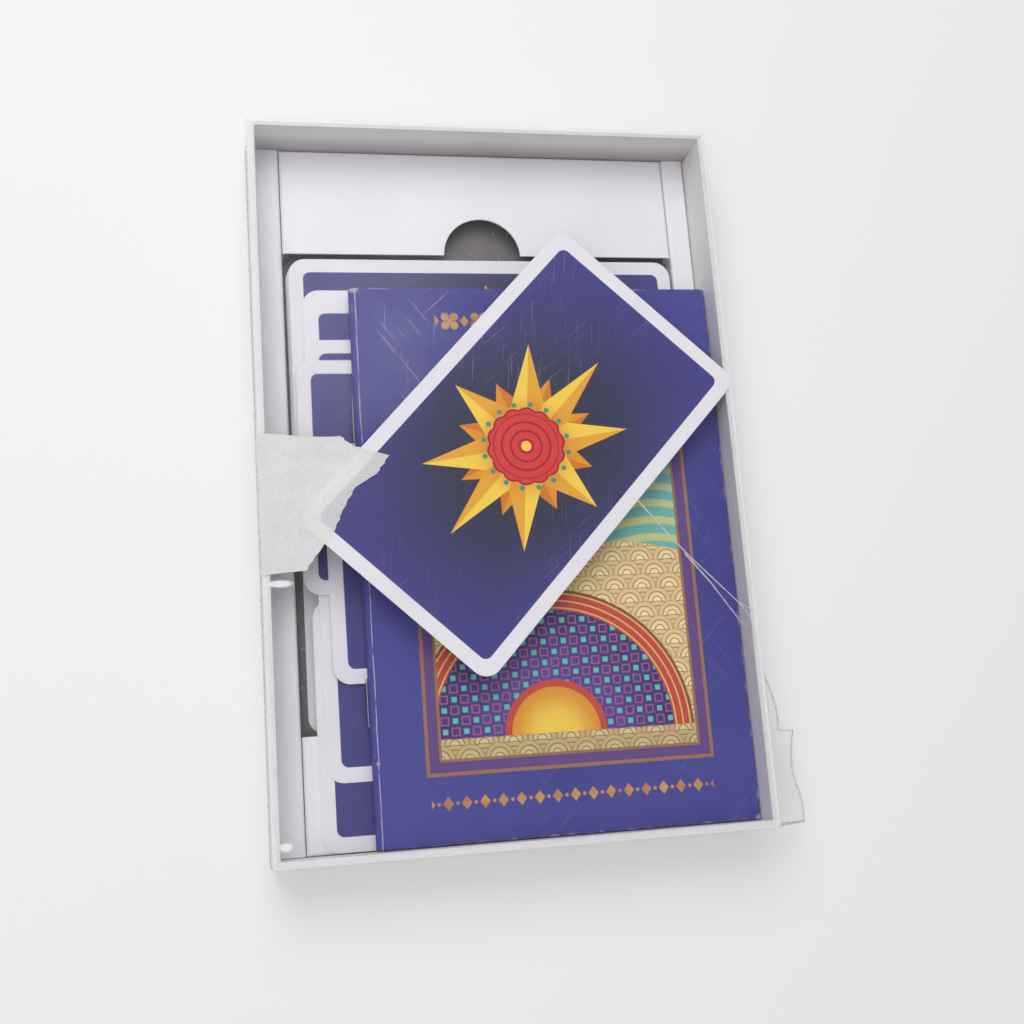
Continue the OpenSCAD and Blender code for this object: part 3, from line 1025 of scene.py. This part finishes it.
# %% Tape finish
TAPE_T = 0.15
TAPE_W = 40
TAPE_Y = -9
TAPE_REACH = 36.5
TAPE_DROP = 12
TAPE_AIR = 0.02
TAPE_WRINKLE = 0.25
SHOW_SOFT = 0.6
TAPE_STEP = 1.2
TORN_END = [
    (0.33, -0.96), (0.40, -0.78), (0.55, -0.44), (0.62, -0.15), (0.72, 0.17), (0.91, 0.40),
    (1.00, 0.64), (0.72, 0.80), (0.63, 0.94), (0.50, 0.92),
]


def painted_show_through(base):
    """Where the tape lies over the card's white border, and where over its print: the light and shade that
    show through are painted into the tape.
    """
    to_card = flat_node_place("sample_card", "x").inverted()
    x, y, unused = parts(base.node("TexCoord", output=3))
    own_x, own_y = [(x * row[0] + y * row[1] + row[3]) / MM for row in to_card[:2]]
    card = inside(rounded_box(own_x, own_y, CARD_L / 2, CARD_W / 2, CARD_R), SHOW_SOFT)
    printed = inside(printed_area(own_x, own_y), SHOW_SOFT)
    return card * (1 - printed), printed


def tape_finish():
    material, base, shader = blank("masking_tape")
    place = base.node("TexCoord", output=2)
    crepe = grain(place, 60, 4, stretch=(16, 2, 1))
    blotch = grain(place, 7, 4)
    fibre = grain(place, 40, 5, stretch=(1, 3, 1))
    tone = paint(colour(246, 244, 246), colour(236, 233, 236), ramp(blotch, 0.4, 0.75) * 0.7)
    border, printed = painted_show_through(base)
    # Painted light and shade: brighter where the white border lies under the tape, darker where the print
    # does.
    tone = paint(tone, colour(254, 252, 251), border * 0.8)
    tone = paint(tone, colour(222, 220, 228), printed * 0.7)
    tone = paint(tone, colour(252, 251, 252), ramp(crepe, 0.5, 0.8) * 0.4)
    feed(shader, Base_Color=tone, Roughness=0.62 + crepe * 0.2, Alpha=ramp(fibre, 0.3, 0.7, 0.74, 0.9),
         Normal=bump(crepe, 0.0001))
    return material


tape_paper = tape_finish()
print("tape is", TAPE_W, "by", TAPE_DROP + TAPE_REACH, "mm")


# %% Tape sheet
def torn_point(share):
    """A point on the torn end, for a share of the tape's width from its lower edge."""
    along = share * (len(TORN_END) - 1)
    first = min(int(along), len(TORN_END) - 2)
    low, high = TORN_END[first], TORN_END[first + 1]
    part = along - first
    reach = low[0] + (high[0] - low[0]) * part + 0.018 * noise.noise((share * 40, 0, 0))
    return reach * TAPE_REACH, (low[1] + (high[1] - low[1]) * part) * TAPE_W / 2


def tape_point(run, share, card_place):
    """Where a point of the tape lies: run is its length from the skirt's end, share its place across."""
    fold = (FOLD_R + TAPE_AIR) * MM
    drop = TAPE_DROP * MM - fold
    bend = fold * math.pi / 2
    left = LID_LOW.x - TAPE_AIR * MM
    top = LID_HIGH.z + TAPE_AIR * MM
    reach, end_y = torn_point(share)
    start_y = (share - 0.5) * TAPE_W
    flat = reach * MM - fold
    length_here = run * (drop + bend + flat)
    y = TAPE_Y * MM + start_y * MM
    coarse = noise.noise((run * 5, share * 4, 1))
    fine = noise.noise((run * 13, share * 11, 4))
    lift = max(0, TAPE_WRINKLE * (coarse + 0.5 * fine)) * MM
    if length_here < drop:
        return Vector((left - lift, y, top - fold - drop + length_here))
    if length_here < drop + bend:
        angle = (length_here - drop) / fold
        return Vector((left + fold - math.cos(angle) * (fold + lift), y,
                       top - fold + math.sin(angle) * (fold + lift)))
    part = (length_here - drop - bend) / flat
    x = left + fold + part * flat
    y += (end_y - start_y) * MM * part
    own = card_place.inverted() @ Vector((x, y, 0)) / MM
    step = max(abs(own.x) - CARD_L / 2, abs(own.y) - CARD_W / 2)
    lift += (CARD_T + TAPE_AIR) * MM * min(1, max(0, 1 - step / TAPE_STEP))
    return Vector((x, y, top + lift))


def tape_sheet():
    start_clean()
    bpy.ops.mesh.primitive_grid_add(x_subdivisions=96, y_subdivisions=72, size=1)
    tape = bpy.context.object
    card_place = flat_node_place("sample_card", "x")
    for vertex in tape.data.vertices:
        vertex.co = tape_point(vertex.co.x + 0.5, vertex.co.y + 0.5, card_place)
    paper = tape.modifiers.new("paper", "SOLIDIFY")
    paper.thickness = TAPE_T * MM
    paper.offset = 1
    apply_all(tape)
    bpy.ops.object.shade_smooth_by_angle(angle=math.radians(50))
    return dress(tape, "torn_tape", "lid", [tape_paper], ["masking_tape"])


tape = tape_sheet()
print("tape has", len(tape.data.polygons), "faces")

# %% [markdown]
# ## Floor and light
#
# The set lies on a pale floor under soft studio light that comes mostly from beyond its upper end.
# A large key lamp gives the soft shadow, and its mirror image hazes one corner of the film.
# A weaker lamp at the left fills the tray, and a grey sky that brightens overhead gives the rest.
# The floor keeps the shadow near the set and fades into the plain backdrop tone further out,
# so no horizon shows.

# %% Stage
FLOOR_DROP = 0.2
FLOOR_SIZE = 40
SHADOW_REACH = (0.13, 0.7)
SHADOW_MIX = (0.12, 1.0)
BACKDROP = colour(239, 239, 239)


def seen_directly(base):
    """1 for rays from the camera, from a mirror or through clear film."""
    path = base.node("LightPath")
    rays = {output.name: Wire(base.tree, output) for output in path.socket.node.outputs}
    return rays["Is Camera Ray"].at_least(rays["Is Glossy Ray"]).at_least(rays["Is Transmission Ray"])


def floor_finish():
    material, base, shader = blank("floor")
    place = base.node("TexCoord", output=3)
    x, y, unused = parts(place)
    cloud = grain(place, 3, 2)
    far = ramp(length(x, y), *SHADOW_REACH, *SHADOW_MIX)
    feed(shader, Base_Color=paint(colour(244, 244, 244), colour(241, 242, 242), cloud),
         Roughness=0.5 + cloud * 0.1)
    even = base.node("Emission", inputs={"Color": BACKDROP})
    layer(base, seen_directly(base) * far, Wire(base.tree, shader.outputs[0]), even)
    return material


start_clean()
bpy.ops.mesh.primitive_plane_add(size=FLOOR_SIZE, location=(0, 0, -FLOOR_DROP * MM))
floor = bpy.context.object
floor.name = "floor"
floor.data.materials.append(floor_finish())
print("floor at", -FLOOR_DROP, "mm, shadow kept within", SHADOW_REACH[0], "m")

# %% Lamps and sky
LAMPS = {
    "key_lamp": (Vector((-0.19, 0.55, 0.85)), 0.7, 4.2),
    "fill_lamp": (Vector((-0.45, -0.3, 1.05)), 0.8, 2.8),
}
SKY_LOW, SKY_HIGH = 0.28, 0.56

for name, (spot, size, power) in LAMPS.items():
    bpy.ops.object.light_add(type="AREA", location=spot)
    lamp = bpy.context.object
    lamp.name = name
    lamp.data.energy = power
    lamp.data.size = size
    lamp.rotation_euler = (-spot).to_track_quat("-Z", "Y").to_euler()

world = bpy.data.worlds.new("studio")
bpy.context.scene.world = world
world.use_nodes = True
sky = Wire(world.node_tree)
unused, unused, height = parts(sky.node("TexCoord", output=0))
tone = ramp(height, 0, 1, SKY_LOW, SKY_HIGH)
light = sky.node("Mix", {"data_type": "RGBA"}, {0: seen_directly(sky), 6: tone, 7: BACKDROP}, output=2)
world.node_tree.links.new(light.socket, world.node_tree.nodes["Background"].inputs["Color"])

bpy.context.scene.view_settings.view_transform = "Standard"
print("lamps", list(LAMPS), "and sky from", SKY_LOW, "to", SKY_HIGH)
